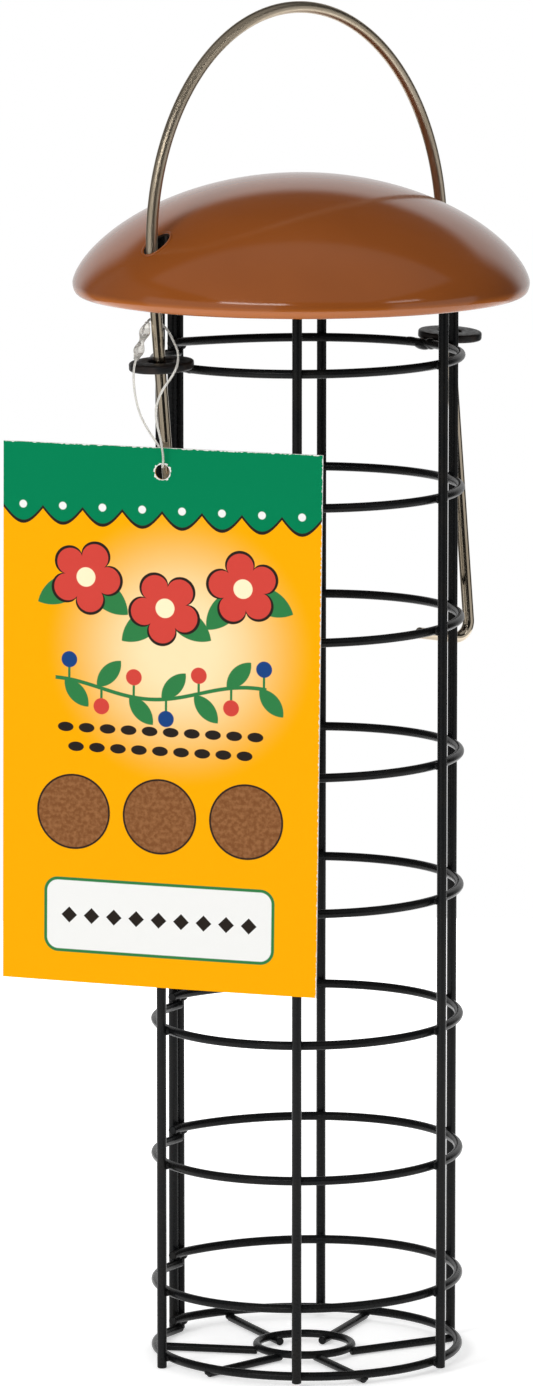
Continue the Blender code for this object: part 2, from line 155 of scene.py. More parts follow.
# The tag's loop, from the top of its lock behind the bail's left leg, down in front of the ear,
# through the tag's hole and up again to the foot of the lock
LOOP_ROUTE = [
    Vector(place) * MM
    for place in (
        (-38.9, -30.7, 274.6), (-38.5, -29.1, 275.3), (-37.3, -28.2, 275.1), (-35.4, -28.0, 274.0),
        (-33.6, -29.8, 272.3), (-32.3, -33.2, 270.2), (-31.2, -37.1, 268.2), (-31.2, -40.2, 265.3),
        (-32.5, -41.0, 262.4), (-35.0, -40.1, 258.6), (-36.6, -38.6, 254.2), (-36.5, -37.4, 250.0),
        (-35.5, -36.5, 245.4), (-35.0, -36.0, 241.8), (-34.9, -35.7, 239.9), (-35.0, -34.9, 238.6),
        (-35.1, -33.8, 238.1), (-35.1, -32.6, 238.7), (-35.2, -31.8, 240.2), (-35.7, -31.5, 242.2),
        (-36.7, -31.6, 244.2), (-38.6, -32.5, 247.2), (-40.7, -34.5, 251.6), (-41.9, -36.5, 256.6),
        (-42.3, -37.8, 260.8), (-42.2, -38.3, 264.2), (-41.7, -37.4, 266.2),
    )
]
LOOP_BEARING_INDEX = 16
LOOP_POINT_SPACING = 1.0 * MM

# Hang tag
TAG_WIDTH = 84.0 * MM
TAG_HEIGHT = 139.7 * MM
TAG_HOLE_RADIUS = 1.95 * MM
TAG_HOLE_INSET = 6.2 * MM
TAG_HOLE_SLACK = 0.5 * MM
TAG_CURL = 3.0 * MM
TAG_ROLL = 0.7
TAG_TURN = -14.376

# Stage
FLOOR_RADIUS = 0.62
FLOOR_DROP = 0.05 * MM
LAMP_TARGET = Vector((0, 0, 0.2))
# What only glossy surfaces show. The wall behind: the azimuths between which it comes up and the
# elevations between which it ends, in degrees
WALL_AZIMUTHS = (133.0, 151.0)
WALL_ELEVATIONS = (35.0, 27.0)
# The panel overhead, seen as if it were a metre up: where its sides, its front end and its back end
# lie, outer edge and inner edge, in metres
PANEL_SIDES, PANEL_FRONT, PANEL_BACK = (1.25, 1.05), (1.75, 1.45), (-0.36, -0.26)
# The softboxes: azimuths from and to, elevations from and to, the width of the soft edge, all in
# degrees, and the level
SOFTBOXES = (
    (-84.0, -16.0, -60.0, 18.0, 6.0, 0.62),
    (-128.0, -84.0, -60.0, 30.0, 8.0, 0.14),
    (50.0, 96.0, -60.0, 10.0, 6.0, 0.62),
    (-42.0, -8.0, 22.2, 25.8, 1.5, 9.0),
    (47.0, 64.0, 21.5, 25.0, 1.5, 3.5),
)


def middle(node):
    """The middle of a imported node's box."""
    low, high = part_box(node)
    return (Vector(low) + Vector(high)) / 2


def outward(azimuth):
    """The level unit vector from the cage's axis at an azimuth in degrees."""
    return Vector((sin(radians(azimuth)), -cos(radians(azimuth)), 0))


def radius_of(node):
    """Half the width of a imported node's box."""
    low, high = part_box(node)
    return (high[0] - low[0]) / 2


CAGE_AXIS = Vector((*middle("bottom_hoop").xy, 0))
HOOP_RADIUS = radius_of("bottom_hoop")


# Helpers


def new_object(name, data):
    """A new object in the scene."""
    made = bpy.data.objects.new(name, data)
    bpy.context.scene.collection.objects.link(made)
    return made


def new_mesh(name, shape):
    """A mesh from a bmesh, which is freed."""
    mesh = bpy.data.meshes.new(name)
    shape.to_mesh(mesh)
    shape.free()
    return mesh


def dress(piece, body, slot, *nodes):
    """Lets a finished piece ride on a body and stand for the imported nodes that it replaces."""
    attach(piece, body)
    if nodes:
        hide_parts(*nodes)


def smooth(mesh, angle=40):
    """Shades a mesh smooth, with its sharp edges kept."""
    mesh.shade_smooth()
    mesh.set_sharp_from_angle(angle=radians(angle))


def soften(piece, width, segments=2):
    """Rounds a piece's sharp edges a little."""
    bevel = piece.modifiers.new("soft_edges", "BEVEL")
    bevel.limit_method = "ANGLE"
    bevel.angle_limit = radians(40)
    bevel.width = width
    bevel.segments = segments


def plain_mesh(piece):
    """Turns a piece's evaluated shape into its mesh and takes its modifiers away."""
    mesh = bpy.data.meshes.new_from_object(piece.evaluated_get(bpy.context.evaluated_depsgraph_get()))
    piece.modifiers.clear()
    piece.data = mesh


def set_down(mesh, place, turn=Matrix.Identity(3)):
    """Turns a mesh and moves it to its place."""
    mesh.transform(Matrix.Translation(place) @ turn.to_4x4())


class Graph:
    """A node tree, with short calls that add its nodes and links."""

    def __init__(self, tree, sizes=()):
        self.tree, self.sizes = tree, sizes

    def feed(self, socket, value):
        """Links an input to the socket that feeds it, or sets its value."""
        if isinstance(value, bpy.types.NodeSocket):
            self.tree.links.new(value, socket)
        else:
            socket.default_value = value

    def add(self, kind, inputs=None, **settings):
        """Adds a node; its inputs are named or numbered."""
        node = self.tree.nodes.new(kind)
        for name, value in settings.items():
            setattr(node, name, value)
        for key, value in (inputs or {}).items():
            self.feed(node.inputs[key], value)
        return node

    def first(self, kind, inputs=None, **settings):
        """The first output of a new node."""
        return self.add(kind, inputs, **settings).outputs[0]

    def math(self, operation, *values):
        """The result of a Math node."""
        return self.first("ShaderNodeMath", dict(enumerate(values)), operation=operation)

    def times(self, *values):
        """The product of several values."""
        return reduce(lambda one, other: self.math("MULTIPLY", one, other), values)

    def most(self, *values):
        """The highest of several values: where they are masks, the mask that holds wherever one does."""
        return reduce(lambda one, other: self.math("MAXIMUM", one, other), values)

    def vector(self, operation, *values):
        """The result of a Vector Math node: a number for a length, a distance or a dot product."""
        node = self.add("ShaderNodeVectorMath", dict(enumerate(values)), operation=operation)
        return node.outputs["Value" if operation in {"LENGTH", "DISTANCE", "DOT_PRODUCT"} else "Vector"]

    def split(self, place):
        """A vector's X, Y and Z, by name."""
        return self.add("ShaderNodeSeparateXYZ", {0: place}).outputs

    def join(self, x, y, z=0.0):
        """A vector from its X, Y and Z."""
        return self.first("ShaderNodeCombineXYZ", {0: x, 1: y, 2: z})

    def ramp(self, value, low, high, to_low=0.0, to_high=1.0):
        """A value taken smoothly from one range to another, and held at its ends."""
        inputs = {"Value": value, "From Min": low, "From Max": high, "To Min": to_low, "To Max": to_high}
        return self.first("ShaderNodeMapRange", inputs, interpolation_type="SMOOTHSTEP")

    def blend(self, share, first, second):
        """One colour laid over another by a share."""
        return self.add("ShaderNodeMix", {0: share, 6: first, 7: second}, data_type="RGBA").outputs[2]

    def drift(self, value, low, high, first, second):
        """One colour that turns into another as a value passes a range."""
        return self.blend(self.ramp(value, low, high), first, second)

    def noise(self, place, scale, detail=2.0):
        """A noise value between 0 and 1; its scale is in turns a metre."""
        return self.first("ShaderNodeTexNoise", {"Vector": place, "Scale": scale, "Detail": detail})

    def bump(self, height, distance, strength, **inputs):
        """A bump normal from a height."""
        inputs.update(Height=height, Distance=distance, Strength=strength)
        return self.first("ShaderNodeBump", inputs)

    def place(self):
        """The place on the object that a pattern is read at."""
        return self.add("ShaderNodeTexCoord").outputs["Object"]

    def shade(self, **inputs):
        """Sets or feeds the Principled shader's inputs; an underscore stands for a space."""
        shader = self.tree.nodes["Principled BSDF"]
        for label, value in inputs.items():
            self.feed(shader.inputs[label.replace("_", " ")], value)
        return shader.outputs[0]


def geometry_tree(name, **sizes):
    """The graph of a Geometry Nodes tree with a named input for each size, and its inputs' sockets."""
    tree = bpy.data.node_groups.new(name, "GeometryNodeTree")
    tree.interface.new_socket("Geometry", in_out="INPUT", socket_type="NodeSocketGeometry")
    sizes = {label.replace("_", " "): value for label, value in sizes.items()}
    for label, value in sizes.items():
        kind = "NodeSocketInt" if isinstance(value, int) else "NodeSocketFloat"
        tree.interface.new_socket(label, in_out="INPUT", socket_type=kind).default_value = value
    tree.interface.new_socket("Geometry", in_out="OUTPUT", socket_type="NodeSocketGeometry")
    graph = Graph(tree, sizes)
    return graph, graph.add("NodeGroupInput").outputs


def grow(name, points, graph, geometry, material, edges=(), **vectors):
    """The plain object that a tree makes from points or edges; each point may carry named vectors."""
    real = graph.first("GeometryNodeRealizeInstances", {"Geometry": geometry})
    painted = graph.first("GeometryNodeSetMaterial", {"Geometry": real, "Material": material})
    graph.add("NodeGroupOutput", {"Geometry": painted})
    mesh = bpy.data.meshes.new(name)
    mesh.from_pydata(points, edges, [])
    for label, values in vectors.items():
        for item, value in zip(mesh.attributes.new(label, "FLOAT_VECTOR", "POINT").data, values):
            item.vector = value
    piece = new_object(name, mesh)
    modifier = piece.modifiers.new("shape", "NODES")
    modifier.node_group = graph.tree
    for socket in graph.tree.interface.items_tree:
        if socket.name in graph.sizes:
            modifier[socket.identifier] = graph.sizes[socket.name]
    piece.update_tag()
    plain_mesh(piece)
    smooth(piece.data)
    return piece


def attribute(graph, name):
    """A vector that each point carries."""
    kind = "GeometryNodeInputNamedAttribute"
    return graph.add(kind, {"Name": name}, data_type="FLOAT_VECTOR").outputs["Attribute"]


def on_points(graph, sizes, shape, **inputs):
    """A shape on each point, turned as the point says."""
    turn = graph.first("FunctionNodeEulerToRotation", {0: attribute(graph, "turn")})
    inputs.update(Points=sizes["Geometry"], Instance=shape, Rotation=turn)
    return graph.first("GeometryNodeInstanceOnPoints", inputs)


def circle(graph, radius, steps):
    """A round curve."""
    return graph.first("GeometryNodeCurvePrimitiveCircle", {"Radius": radius, "Resolution": steps})


def swept(graph, curve, profile):
    """A profile swept along a curve, with flat ends."""
    inputs = {"Curve": curve, "Profile Curve": profile, "Fill Caps": True}
    return graph.first("GeometryNodeCurveToMesh", inputs)


def round_wire(graph, curve, sizes):
    """A round wire along a curve."""
    return swept(graph, curve, circle(graph, sizes["Wire radius"], sizes["Sides"]))


def straight_wires(name, points, diameter, sides):
    """Straight wires between pairs of points, with rounded cut ends."""
    edges = [(i, i + 1) for i in range(0, len(points), 2)]
    graph, sizes = geometry_tree(name, Wire_radius=diameter / 2, Sides=sides)
    runs = graph.first("GeometryNodeMeshToCurve", {0: sizes["Geometry"]})
    wires = grow(name, points, graph, round_wire(graph, runs, sizes), coat(), edges)
    soften(wires, 0.3 * MM)
    return wires


def turned(name, profile, steps):
    """A profile of (radius, height) pairs, from axis to axis, turned about +Z, faces outwards."""
    shape = bmesh.new()
    points = [shape.verts.new((radius, 0, height)) for radius, height in profile]
    line = points + [shape.edges.new(pair) for pair in zip(points, points[1:])]
    bmesh.ops.spin(shape, geom=line, cent=(0, 0, 0), axis=UP, angle=tau, steps=steps, use_merge=True)
    bmesh.ops.remove_doubles(shape, verts=shape.verts, dist=0.01 * MM)
    bmesh.ops.recalc_face_normals(shape, faces=shape.faces)
    mesh = new_mesh(name, shape)
    smooth(mesh)
    return mesh


def punch(piece, radius, length, sides, place=(0, 0, 0), turn=(0, 0, 0)):
    """Cuts a round hole through a piece with a tool, which is removed once the piece is a plain mesh."""
    shape = bmesh.new()
    ends = {"radius1": radius, "radius2": radius}
    bmesh.ops.create_cone(shape, cap_ends=True, segments=sides, depth=length, **ends)
    tool = new_object("punch", new_mesh("punch", shape))
    tool.location, tool.rotation_euler = place, turn
    modifier = piece.modifiers.new("punch", "BOOLEAN")
    modifier.operation = "DIFFERENCE"
    modifier.solver = "EXACT"
    modifier.object = tool
    return tool


# Materials


def new_material(name):
    """A new Principled material and its graph."""
    material = bpy.data.materials.new(name)
    material.use_nodes = True
    return material, Graph(material.node_tree)


def shaded(colour, share):
    """A colour made darker or lighter by a share."""
    return (*(channel * share for channel in colour[:3]), 1)


def powder_coat(name, tint, tint_top, scales, roughness, specular, relief):
    """Black powder coat with a fine orange peel, which drifts towards a tint.

    The scales are the peel's and the drift's, the roughness is a range, and the relief is the peel's
    depth and strength.
    """
    material, graph = new_material(name)
    place = graph.place()
    peel, drift = graph.noise(place, scales[0]), graph.noise(place, scales[1], 3.0)
    graph.shade(
        Base_Color=graph.drift(drift, 0.35, tint_top, bpy.context.scene.feeder.coat_colour, tint),
        Roughness=graph.ramp(peel, 0.3, 0.7, *roughness),
        Specular_IOR_Level=specular,
        Normal=graph.bump(peel, *relief),
    )
    return material


def coat():
    """The wires' satin black coat, made the first time that it is asked for."""
    tint = bpy.context.scene.feeder.coat_tint
    return bpy.data.materials.get(COAT_NAME) or powder_coat(
        COAT_NAME, tint, 0.75, (1400.0, 160.0), (0.25, 0.31), 0.15, (0.00002, 0.12)
    )


def ear_coat(settings):
    """The coat on the ears' rolled sheet, duller and browner than on the wires."""
    return powder_coat(
        "ear_coat", settings.ear_colour, 0.7, (1100.0, 260.0), (0.34, 0.5), 0.25, (0.00003, 0.2)
    )


def copper_enamel(settings):
    """Glossy copper-brown enamel with a faint flow and a few specks of dust in it, and painted light: a
    brighter colour on the turned edge for the light thrown up from the floor.
    """
    material, graph = new_material("copper_enamel")
    place = graph.place()
    flow = graph.noise(place, 26.0, 3.0)
    peel = graph.noise(place, 420.0)
    specks = graph.add("ShaderNodeTexVoronoi", {"Vector": place, "Scale": 130.0, "Randomness": 1.0}).outputs
    chosen = graph.math("GREATER_THAN", graph.noise(specks["Position"], 900.0), 0.66)
    speck = graph.times(graph.ramp(specks["Distance"], 0.085, 0.03), chosen)
    tone = graph.drift(flow, 0.3, 0.7, settings.enamel_dark, settings.enamel_colour)
    # Painted light: under the lid's widest plane the enamel drifts to a brighter colour, standing in for
    # the floor's light on the turned edge
    ends = [lid_sizes()[2] + height for height in PAINTED_UNDERLIGHT_HEIGHTS]
    tone = graph.drift(graph.split(place)["Z"], *ends, tone, settings.enamel_painted_underlight)
    graph.shade(
        Base_Color=graph.blend(graph.times(speck, 0.35), tone, settings.enamel_speck),
        Roughness=0.45,
        Specular_IOR_Level=0.1,
        Coat_Weight=1.0,
        Coat_Roughness=0.12,
        Coat_IOR=1.5,
        Normal=graph.bump(speck, 0.0001, 0.6, Normal=graph.bump(peel, 0.00004, 0.25)),
    )
    return material


def antique_nickel(settings):
    """Warm grey plated wire with fine lines drawn along it, duller on the arch than on the legs."""
    material, graph = new_material("antique_nickel")
    along = graph.first("ShaderNodeUVMap", uv_map="UVMap")
    lines = graph.noise(graph.vector("MULTIPLY", along, (90.0, 6.0, 1.0)), 4.0, 3.0)
    place = graph.place()
    stain = graph.noise(place, 70.0, 3.0)
    arch = graph.ramp(graph.split(place)["Z"], *DULL_PLATING)
    graph.shade(
        Base_Color=graph.drift(stain, 0.35, 0.7, settings.nickel_colour, settings.nickel_stain),
        Metallic=1.0,
        Roughness=graph.math("ADD", graph.ramp(lines, 0.3, 0.7, 0.08, 0.13), arch),
    )
    return material


def lid_inside_painted_shade(settings):
    """Painted shade: a near-black colour with a faint drift on the lid's inner face, standing in for the
    shade under the lid.
    """
    material, graph = new_material("lid_inside_painted_shade")
    drift = graph.noise(graph.place(), 300.0, 3.0)
    tone = graph.drift(drift, 0.3, 0.7, settings.inside_shade_colour, shaded(settings.inside_shade_colour, 1.6))
    graph.shade(Base_Color=tone, Roughness=0.6, Specular_IOR_Level=0.15)
    return material


def clear_nylon(settings, name, roughness, clearness):
    """Milky clear nylon."""
    material, graph = new_material(name)
    cloud = graph.noise(graph.place(), 900.0)
    graph.shade(
        Base_Color=graph.drift(cloud, 0.3, 0.7, settings.nylon_colour, settings.nylon_shade),
        Roughness=roughness,
        IOR=1.5,
        Transmission_Weight=clearness,
        Normal=graph.bump(cloud, 0.00005, 0.2),
    )
    return material


def paper(name, colour):
    """Bare card with a fine fibre."""
    material, graph = new_material(name)
    fibre = graph.noise(graph.vector("MULTIPLY", graph.place(), (1.0, 1.0, 3.0)), 1500.0, 3.0)
    tone = graph.drift(fibre, 0.3, 0.7, colour, shaded(colour, 0.93))
    graph.shade(Base_Color=tone, Roughness=0.75, Normal=graph.bump(fibre, 0.00003, 0.3))
    return material


# The tag's print, in millimetres from its lower left corner


def disc(graph, place, centre, radius, edge=0.12):
    """A mask that is 1 inside a circle."""
    distance = graph.vector("DISTANCE", place, (*centre, 0.0))
    return graph.ramp(distance, radius + edge, radius - edge)


def leaf(graph, place, foot, angle, length, slimness=0.42):
    """A mask of a pointed leaf: where two circles overlap."""
    axis = Vector((cos(radians(angle)), sin(radians(angle))))
    centre = Vector(foot) + axis * length / 2
    shift = length * slimness
    side = shift * Vector((-axis.y, axis.x))
    radius = hypot(length / 2, shift)
    return graph.times(*(disc(graph, place, centre + side * way, radius) for way in (1, -1)))


def from_slab(graph, place, centre, half_size):
    """How far a point lies outside a box."""
    off = graph.vector("ABSOLUTE", graph.vector("SUBTRACT", place, (*centre, 0.0)))
    past = graph.vector("MAXIMUM", graph.vector("SUBTRACT", off, (*half_size, 0.0)), (0.0, 0.0, 0.0))
    return graph.vector("LENGTH", past)


def row_cell(graph, place, corner, period):
    """A point's place in its own cell of a row, from the cell's middle."""
    moved = graph.vector("SUBTRACT", place, (*corner, 0.0))
    return graph.vector("WRAP", moved, (period / 2, 1000.0, 1.0), (-period / 2, -1000.0, -1.0))


def from_blossom(graph, place, centre, turn, radius):
    """How far a point lies outside a blossom of five round petals."""
    off = graph.vector("SUBTRACT", place, (*centre, 0.0))
    split = graph.split(off)
    angle = graph.math("ARCTAN2", split["Y"], split["X"])
    petals = graph.math("ABSOLUTE", graph.math("COSINE", graph.math("MULTIPLY_ADD", angle, 2.5, turn)))
    edge = graph.math("MULTIPLY_ADD", graph.math("POWER", petals, 0.6), 0.4 * radius, 0.6 * radius)
    return graph.math("SUBTRACT", graph.vector("LENGTH", off), edge)


def printed_card(settings):
    """The tag's front: a scalloped header, blossoms, a sprig, rows of seeds, three discs and a panel."""
    material, graph = new_material("printed_card")
    width, height = TAG_WIDTH / MM, TAG_HEIGHT / MM
    place = graph.vector("MULTIPLY", graph.first("ShaderNodeUVMap", uv_map="UVMap"), (width, height, 0.0))
    split = graph.split(place)
    across, high = split["X"], split["Y"]
    white, ink = settings.panel_colour, settings.ink_colour
    glow = graph.ramp(graph.vector("DISTANCE", place, (47.0, 88.0, 0.0)), 36.0, 6.0)
    colour = graph.blend(graph.times(glow, 0.8), settings.field_colour, settings.glow_colour)

    def paint(mask, tint):
        """Lays a colour over the print where a mask holds."""
        nonlocal colour
        colour = graph.blend(mask, colour, tint)

    # The header, its outline and its dots
    scallop = graph.math("ABSOLUTE", graph.math("SINE", graph.times(across, pi / 10.5)))
    edge = graph.math("SUBTRACT", graph.math("MULTIPLY_ADD", scallop, 4.0, high), 123.5)
    paint(graph.ramp(edge, -0.95, -0.75), ink)
    paint(graph.ramp(edge, -0.1, 0.1), settings.header_colour)
    paint(disc(graph, row_cell(graph, place, (5.25, 123.6), 10.5), (0.0, 0.0), 1.0), white)

    # Three blossoms, each with two leaves, an outline and a pale eye
    blossoms = (((22.0, 105.5), 0.3), ((43.0, 98.5), 1.1), ((63.5, 104.5), 2.0))
    outside = reduce(
        lambda one, other: graph.math("MINIMUM", one, other),
        [from_blossom(graph, place, centre, turn, 9.4) for centre, turn in blossoms],
    )
    leaves = []
    for centre, turn in blossoms:
        leaves += [leaf(graph, place, centre, angle, 14.5) for angle in (205 + 12 * turn, 318 + 9 * turn)]
    paint(graph.most(*leaves), settings.leaf_colour)
    paint(graph.ramp(outside, 0.55, 0.35), ink)
    paint(graph.ramp(outside, -0.2, -0.4), settings.berry_colour)
    paint(graph.most(*(disc(graph, place, centre, 2.5) for centre, _ in blossoms)), settings.glow_colour)

    # A sprig on a waved stem, with leaves and berries on alternate sides
    level, wave, pace = 77.0, 2.2, 0.12
    stem = graph.math("MULTIPLY_ADD", graph.math("SINE", graph.times(across, pace)), wave, level)
    off_stem = graph.math("ABSOLUTE", graph.math("SUBTRACT", high, stem))
    span = [graph.ramp(across, 13.8, 14.2), graph.ramp(across, 70.2, 69.8)]
    twigs, berries, blue_berries = [graph.times(graph.ramp(off_stem, 0.6, 0.4), *span)], [], []
    for number in range(7):
        x = 16.5 + 8.6 * number
        y = level + wave * sin(pace * x)
        way = 1 if number % 2 else -1
        twigs.append(leaf(graph, place, (x, y), 48 * way, 9.5))
        berry = (x + 1.2, y - 5.0 * way)
        stalk = from_slab(graph, place, (berry[0], (berry[1] + y) / 2), (0.15, 2.4))
        twigs.append(graph.ramp(stalk, 0.25, 0.1))
        (berries if number % 3 else blue_berries).append(disc(graph, place, berry, 2.1))
    paint(graph.most(*twigs), settings.leaf_colour)
    paint(graph.most(*berries), settings.berry_colour)
    paint(graph.most(*blue_berries), settings.blue_colour)

    # Two rows of seeds
    for y, half_row in ((66.5, 28.0), (61.5, 25.2)):
        cell = graph.vector("MULTIPLY", row_cell(graph, place, (44.8 - half_row, y), 5.6), (1.0, 1.7, 1.0))
        row = graph.ramp(from_slab(graph, place, (42.0, y), (half_row, 3.0)), 0.1, 0.0)
        paint(graph.times(disc(graph, cell, (0.0, 0.0), 2.1), row), ink)

    # Three grained discs with dark edges
    brown = graph.drift(graph.noise(place, 0.9, 4.0), 0.35, 0.7, settings.disc_colour, settings.disc_light)
    for radius, tint in ((9.8, ink), (9.3, brown)):
        paint(graph.most(*(disc(graph, place, (x, 44.5), radius) for x in (19.0, 42.0, 65.0))), tint)

    # A panel with a green edge and a row of diamonds
    panel = (42.0, 17.5)
    from_panel = from_slab(graph, place, panel, (27.0, 6.0))
    paint(graph.ramp(from_panel, 3.9, 3.65), settings.leaf_colour)
    paint(graph.ramp(from_panel, 3.1, 2.85), white)
    cell = graph.vector("ABSOLUTE", row_cell(graph, place, (18.0, 17.5), 6.0))
    diamond = graph.ramp(graph.vector("DOT_PRODUCT", cell, (1.0, 1.0, 0.0)), 2.2, 2.0)
    paint(graph.times(diamond, graph.ramp(from_slab(graph, place, panel, (26.9, 6.0)), 0.1, 0.0)), ink)

    # Wear along the card's right and upper edges and round its hole
    rough = graph.noise(place, 1.1, 4.0)
    to_edge = [graph.math("SUBTRACT", width, across), graph.math("SUBTRACT", height, high)]
    to_edge = graph.math("MINIMUM", *to_edge)
    worn = graph.math("LESS_THAN", to_edge, graph.ramp(rough, 0.42, 0.65, 0.04, 0.28))
    from_hole = graph.vector("DISTANCE", place, (width / 2, height - TAG_HOLE_INSET / MM, 0.0))
    torn = graph.math("LESS_THAN", from_hole, graph.ramp(rough, 0.35, 0.65, 2.0, 2.5))
    paint(graph.times(graph.most(worn, torn), 0.9), white)

    grain = graph.noise(graph.place(), 2200.0)
    graph.shade(
        Base_Color=colour,
        Roughness=graph.ramp(grain, 0.3, 0.7, 0.5, 0.6),
        Specular_IOR_Level=0.06,
        Normal=graph.bump(grain, 0.00002, 0.2),
    )
    return material


def studio_floor(settings):
    """White floor that reads as the backdrop and keeps the feeder's shadow."""
    material, graph = new_material("studio_floor")
    shader = graph.shade(Base_Color=settings.floor_colour, Roughness=0.9, Specular_IOR_Level=0.0)
    path = graph.add("ShaderNodeLightPath").outputs
    seen = graph.most(*(path[f"Is {kind} Ray"] for kind in ("Camera", "Glossy", "Transmission")))
    level = graph.ramp(graph.vector("LENGTH", graph.place()), 0.1, 0.45, settings.floor_lift, 1.0)
    lift = graph.first("ShaderNodeEmission", {"Strength": graph.times(seen, level)})
    both = graph.first("ShaderNodeAddShader", {0: shader, 1: lift})
    graph.feed(graph.tree.nodes["Material Output"].inputs["Surface"], both)
    return material


# Settings


def a_length(label, text, default):
    """A length that a user may change."""
    return FloatProperty(name=label, description=text, default=default, min=0, unit="LENGTH", precision=5)


def a_colour(label, text, *default):
    """A colour that a user may change, scene linear."""
    return FloatVectorProperty(
        name=label, description=text, default=(*default, 1.0), size=4, min=0, max=1, subtype="COLOR"
    )


def a_level(label, text, default, unit="NONE"):
    """A level or a power of light that a user may change."""
    return FloatProperty(name=label, description=text, default=default, min=0, unit=unit)


class FeederSettings(bpy.types.PropertyGroup):
    """Sizes, colours and light of the suet ball feeder."""

    hoop_wire: a_length("Hoop wire", "Diameter of the hoops' wire", 2.3 * MM)
    upright_wire: a_length("Upright wire", "Diameter of the uprights", 2.5 * MM)
    base_wire: a_length("Base wire", "Diameter of the spokes and the centre ring", 2.1 * MM)
    bail_wire: a_length("Bail wire", "Diameter of the bail's wire", 3.0 * MM)
    weld_size: a_length("Weld size", "Radius of the weld at each crossing", 1.15 * MM)
    ear_edge: a_length("Ear edge", "Rounding of the ears' edges", 0.55 * MM)
    lid_wall: a_length("Lid wall", "Thickness of the lid's sheet", 0.8 * MM)
    lid_rim: a_length("Hole rim", "Radius of the rim round each of the lid's holes", 0.32 * MM)
    loop_diameter: a_length("Loop", "Diameter of the tag's nylon loop", 0.6 * MM)
    lock_bead: a_length("Lock bead", "Width of the beads of the loop's lock", 2.8 * MM)
    lock_neck: a_length("Lock neck", "Width of the lock between its beads", 1.4 * MM)
    card_thickness: a_length("Card", "Thickness of the hang tag", 0.5 * MM)
    wire_sides: IntProperty(name="Wire sides", description="Sides of a wire's section", default=20, min=8)
    lid_steps: IntProperty(name="Lid steps", description="Steps round the lid", default=144, min=24)

    coat_colour: a_colour("Coat", "Black powder coat", 0.0055, 0.0060, 0.0066)
    coat_tint: a_colour("Coat tint", "Faint warm drift in the powder coat", 0.0085, 0.0080, 0.0075)
    ear_colour: a_colour("Ears", "Browner coat on the ears", 0.020, 0.0135, 0.011)
    enamel_colour: a_colour("Enamel", "Copper-brown enamel of the lid", 0.260, 0.066, 0.0080)
    # Painted light: the brighter colour of the lid's turned edge, standing in for light thrown up from the
    # floor
    enamel_painted_underlight: a_colour("Enamel edge", "Brighter enamel on the turned edge", 0.45, 0.118, 0.0075)
    enamel_dark: a_colour("Enamel shade", "Darker drift in the enamel", 0.232, 0.058, 0.0068)
    # Painted shade: the near-black of the lid's inner face, standing in for the shade under the lid
    inside_shade_colour: a_colour("Lid inside", "Dull coat on the lid's inner face", 0.016, 0.010, 0.007)
    enamel_speck: a_colour("Enamel speck", "Dust under the enamel", 0.62, 0.33, 0.16)
    nickel_colour: a_colour("Nickel", "Plating of the bail", 0.56, 0.48, 0.37)
    nickel_stain: a_colour("Nickel stain", "Browner drift in the plating", 0.49, 0.41, 0.30)
    nylon_colour: a_colour("Nylon", "Nylon of the loop and its lock", 0.90, 0.88, 0.82)
    nylon_shade: a_colour("Nylon shade", "Milky drift in the nylon", 0.80, 0.78, 0.74)
    field_colour: a_colour("Field", "Main colour of the tag's print", 0.94, 0.40, 0.0)
    glow_colour: a_colour("Glow", "Pale middle of the tag's print", 0.98, 0.84, 0.55)
    header_colour: a_colour("Header", "Green of the tag's header", 0.0, 0.205, 0.08)
    leaf_colour: a_colour("Leaves", "Green of the tag's leaves", 0.03, 0.20, 0.06)
    berry_colour: a_colour("Berries", "Red of the tag's berries", 0.62, 0.06, 0.045)
    blue_colour: a_colour("Blue berries", "Blue of the tag's other berries", 0.012, 0.055, 0.21)
    disc_colour: a_colour("Discs", "Brown of the tag's discs", 0.20, 0.075, 0.025)
    disc_light: a_colour("Disc grain", "Lighter grain in the discs", 0.30, 0.13, 0.05)
    ink_colour: a_colour("Ink", "Dark outlines of the print", 0.02, 0.015, 0.012)
    panel_colour: a_colour("Panel", "White of the tag's print", 0.85, 0.85, 0.83)
    card_colour: a_colour("Card", "Bare card on the tag's back and edges", 0.80, 0.78, 0.73)
    floor_colour: a_colour("Floor", "Studio floor", 0.88, 0.88, 0.88)

    floor_lift: a_level("Floor lift", "What the backdrop adds to the floor", 0.45)
    world_level: a_level("Soft light", "Level of the even light", 0.55)
    backdrop_level: a_level("Backdrop", "Level of the wall behind", 0.76)
    ceiling_level: a_level("Ceiling", "Level of the panel overhead", 0.33)
    key_power: a_level("Key", "Power of the lamp on the left", 19.0, "POWER")
    fill_power: a_level("Fill", "Power of the low lamp in front", 5.0, "POWER")
    top_power: a_level("Top", "Power of the lamp overhead", 4.0, "POWER")


# Operators


class FEEDER_OT_camera(bpy.types.Operator):
    """Place the camera where the photograph was taken"""

    bl_idname = "feeder.camera"
    bl_label = "Camera"

    def execute(self, context):
        camera = bpy.data.cameras.new("camera")
        camera.lens = CAMERA_LENS
        camera.clip_start, camera.clip_end = 0.1, 20.0
        holder = new_object("camera", camera)
        holder.location = CAGE_AXIS + Vector((0, -CAMERA_DISTANCE, CAMERA_HEIGHT))
        holder.rotation_euler = (radians(90 - CAMERA_TILT), 0, radians(CAMERA_TURN))
        context.scene.camera = holder
        return {"FINISHED"}


